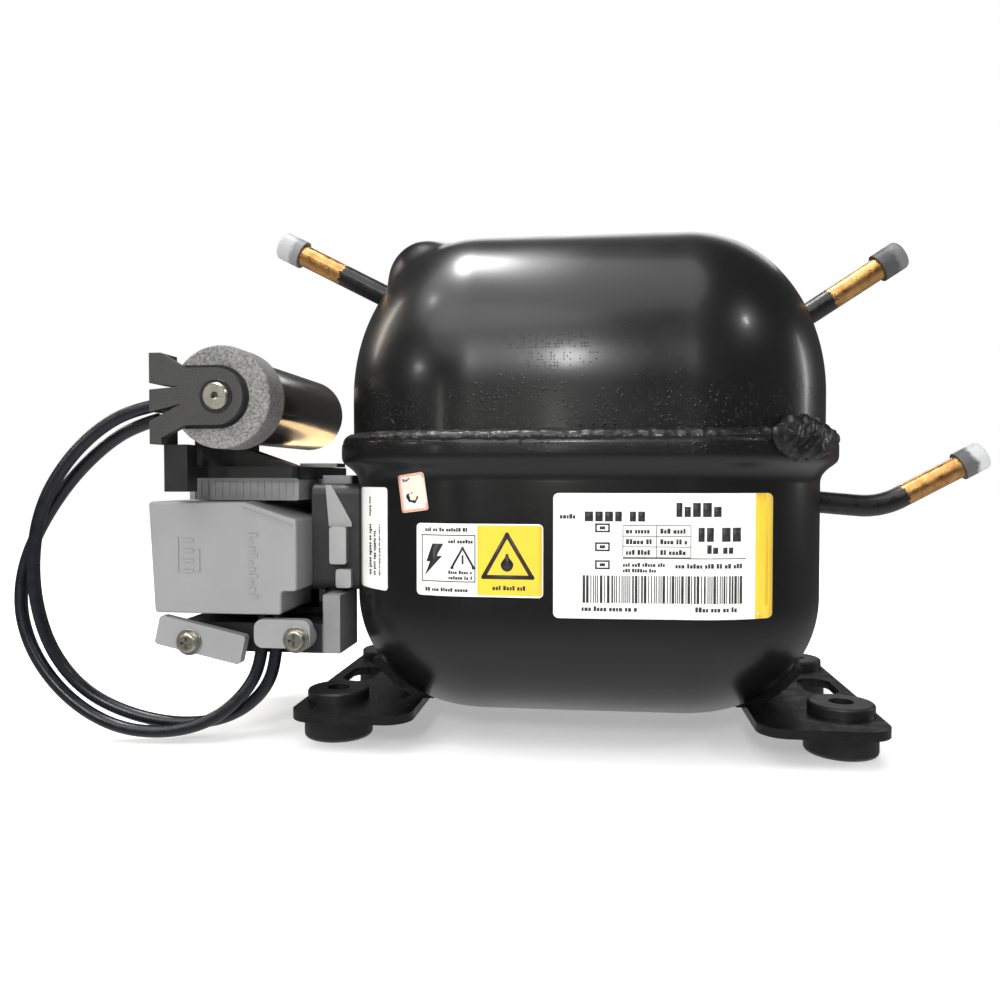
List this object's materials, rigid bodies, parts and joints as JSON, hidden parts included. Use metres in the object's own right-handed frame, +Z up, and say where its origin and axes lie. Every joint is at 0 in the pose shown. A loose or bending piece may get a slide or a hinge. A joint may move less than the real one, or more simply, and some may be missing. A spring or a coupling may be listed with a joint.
{
  "type": "hermetic reciprocating compressor",
  "caption": "Welded black steel refrigeration compressor with stub tubes, rubber feet, terminal box, run capacitor and a piston pump inside.",
  "frame": {"origin": "centre of the four mounting holes, on the plane the rubber feet stand on", "axes": "+X along the shell's long axis towards the suction stub, +Y away from the label side, +Z up"},
  "size_m": [0.3374, 0.14, 0.1832],
  "materials": {
    "shell_paint": "gloss black baked enamel",
    "weld_paint": "gloss black enamel over a rough weld bead",
    "plate_paint": "satin black enamel",
    "grommet_rubber": "matt black rubber",
    "stub_copper": "copper stub, black painted near the shell",
    "braze_filler": "black enamel over a braze fillet",
    "cap_rubber": "dark grey soft rubber",
    "label_white": "white printed film",
    "label_yellow": "white and yellow printed film",
    "sticker_paper": "paper sticker with an orange border",
    "plated_steel": "zinc plated steel",
    "terminal_glass": "fused green glass",
    "cover_plastic": "light grey moulded plastic, fine spark texture",
    "base_plastic": "grey moulded plastic",
    "fence_metal": "grey coated sheet steel",
    "clip_plastic": "pale grey moulded plastic",
    "starter_plastic": "black flame-proof plastic",
    "screw_zinc": "zinc plated screw",
    "capacitor_sleeve": "glossy black shrink sleeve",
    "capacitor_resin": "grainy dark grey moulding",
    "clip_grey": "dark grey moulded plastic",
    "bracket_black": "black moulded plastic",
    "lead_pvc": "black PVC sleeve, semi-gloss",
    "cast_iron": "machined grey iron",
    "core_steel": "stacked electrical steel laminations",
    "winding_copper": "enamelled copper wire, laced",
    "gasket_fibre": "compressed fibre",
    "spring_steel": "blue-grey spring steel",
    "head_aluminium": "die-cast aluminium",
    "muffler_plastic": "natural PBT plastic",
    "seat_nylon": "natural nylon",
    "cage_aluminium": "cast aluminium cage",
    "plug_brass": "turned brass",
    "ground_steel": "ground and phosphated steel"
  },
  "bodies": {
    "housing": {"upper_shell": "shell_paint", "lower_shell": "shell_paint", "seam_weld": "weld_paint", "base_plate_left": "plate_paint", "base_plate_right": "plate_paint", "mount_grommets": "grommet_rubber", "process_tube": "stub_copper", "discharge_tube": "stub_copper", "suction_tube": "stub_copper", "braze_rings": "braze_filler", "nameplate_label": "label_white", "safety_label": "label_yellow", "inspection_sticker": "sticker_paper", "side_label": "label_white", "terminal_cup": "plated_steel", "terminal_glass": "terminal_glass", "terminal_pins": "plated_steel", "terminal_cover": "cover_plastic", "terminal_base": "base_plastic", "terminal_fence": "fence_metal", "fence_clips": "clip_plastic", "ptc_starter": "starter_plastic", "overload_protector": "starter_plastic", "clamp_bars": "cover_plastic", "clamp_screws": "screw_zinc", "capacitor_can": "capacitor_sleeve", "capacitor_end_cap": "capacitor_resin", "capacitor_clip": "clip_grey", "capacitor_stud": "screw_zinc", "capacitor_bracket": "bracket_black", "capacitor_lead_a": "lead_pvc", "capacitor_lead_b": "lead_pvc", "internal_plug": "muffler_plastic", "discharge_line": "ground_steel", "spring_seats_lower": "seat_nylon", "suspension_springs": "spring_steel"},
    "pump": {"crankcase": "cast_iron", "stator_core": "core_steel", "stator_windings": "winding_copper", "stator_bolts": "screw_zinc", "head_gasket": "gasket_fibre", "valve_reeds": "spring_steel", "valve_plate": "ground_steel", "cylinder_head": "head_aluminium", "head_bolts": "screw_zinc", "suction_muffler": "muffler_plastic", "discharge_muffler": "ground_steel", "spring_seats_upper": "seat_nylon"},
    "crank": {"crankshaft": "cast_iron", "counterweight": "ground_steel", "rotor_core": "core_steel", "rotor_cage": "cage_aluminium", "oil_pickup": "ground_steel"},
    "slide_block": {"slide_block": "ground_steel"},
    "gallery_plug": {"oil_gallery_plug": "plug_brass"},
    "piston": {"piston_yoke": "ground_steel"},
    "process_cap": {"process_tube_cap": "cap_rubber"},
    "discharge_cap": {"discharge_tube_cap": "cap_rubber"},
    "suction_cap": {"suction_tube_cap": "cap_rubber"}
  },
  "joints": [
    {"name": "pump_bounce", "type": "slide", "parent": "housing", "child": "pump", "axis": [0, 0, 1], "range_m": [-0.0018, 0.0018], "stiffness_N_per_m": 16000, "springref_m": 0.00297, "deforming": ["suspension_springs", "discharge_line"]},
    {"name": "crank_spin", "type": "hinge", "parent": "pump", "child": "crank", "pos_m": [-0.01, 0, 0.1], "axis": [0, 0, 1], "continuous": true},
    {"name": "block_turn", "type": "hinge", "parent": "crank", "child": "slide_block", "pos_m": [-0.001, 0, 0.124], "axis": [0, 0, 1], "continuous": true},
    {"name": "plug_turn", "type": "hinge", "parent": "crank", "child": "gallery_plug", "pos_m": [-0.0055, 0, 0.09], "axis": [0, 0, 1], "continuous": true},
    {"name": "yoke_stroke", "type": "hinge", "parent": "gallery_plug", "child": "piston", "pos_m": [-0.001, 0, 0.124], "axis": [0, 0, 1], "continuous": true},
    {"name": "discharge_cap_pull", "type": "slide", "parent": "housing", "child": "discharge_cap", "axis": [-0.8896, 0, 0.4567], "range_m": [0, 0.03]},
    {"name": "process_cap_pull", "type": "slide", "parent": "housing", "child": "process_cap", "axis": [0.838, 0, 0.5457], "range_m": [0, 0.03]},
    {"name": "suction_cap_pull", "type": "slide", "parent": "housing", "child": "suction_cap", "axis": [0.877, 0, 0.4804], "range_m": [0, 0.03]}
  ],
  "couplings": [
    {"joint": "block_turn", "follows": "crank_spin", "ratio": -1},
    {"joint": "plug_turn", "follows": "crank_spin", "ratio": -2},
    {"joint": "yoke_stroke", "follows": "crank_spin", "ratio": 1}
  ]
}
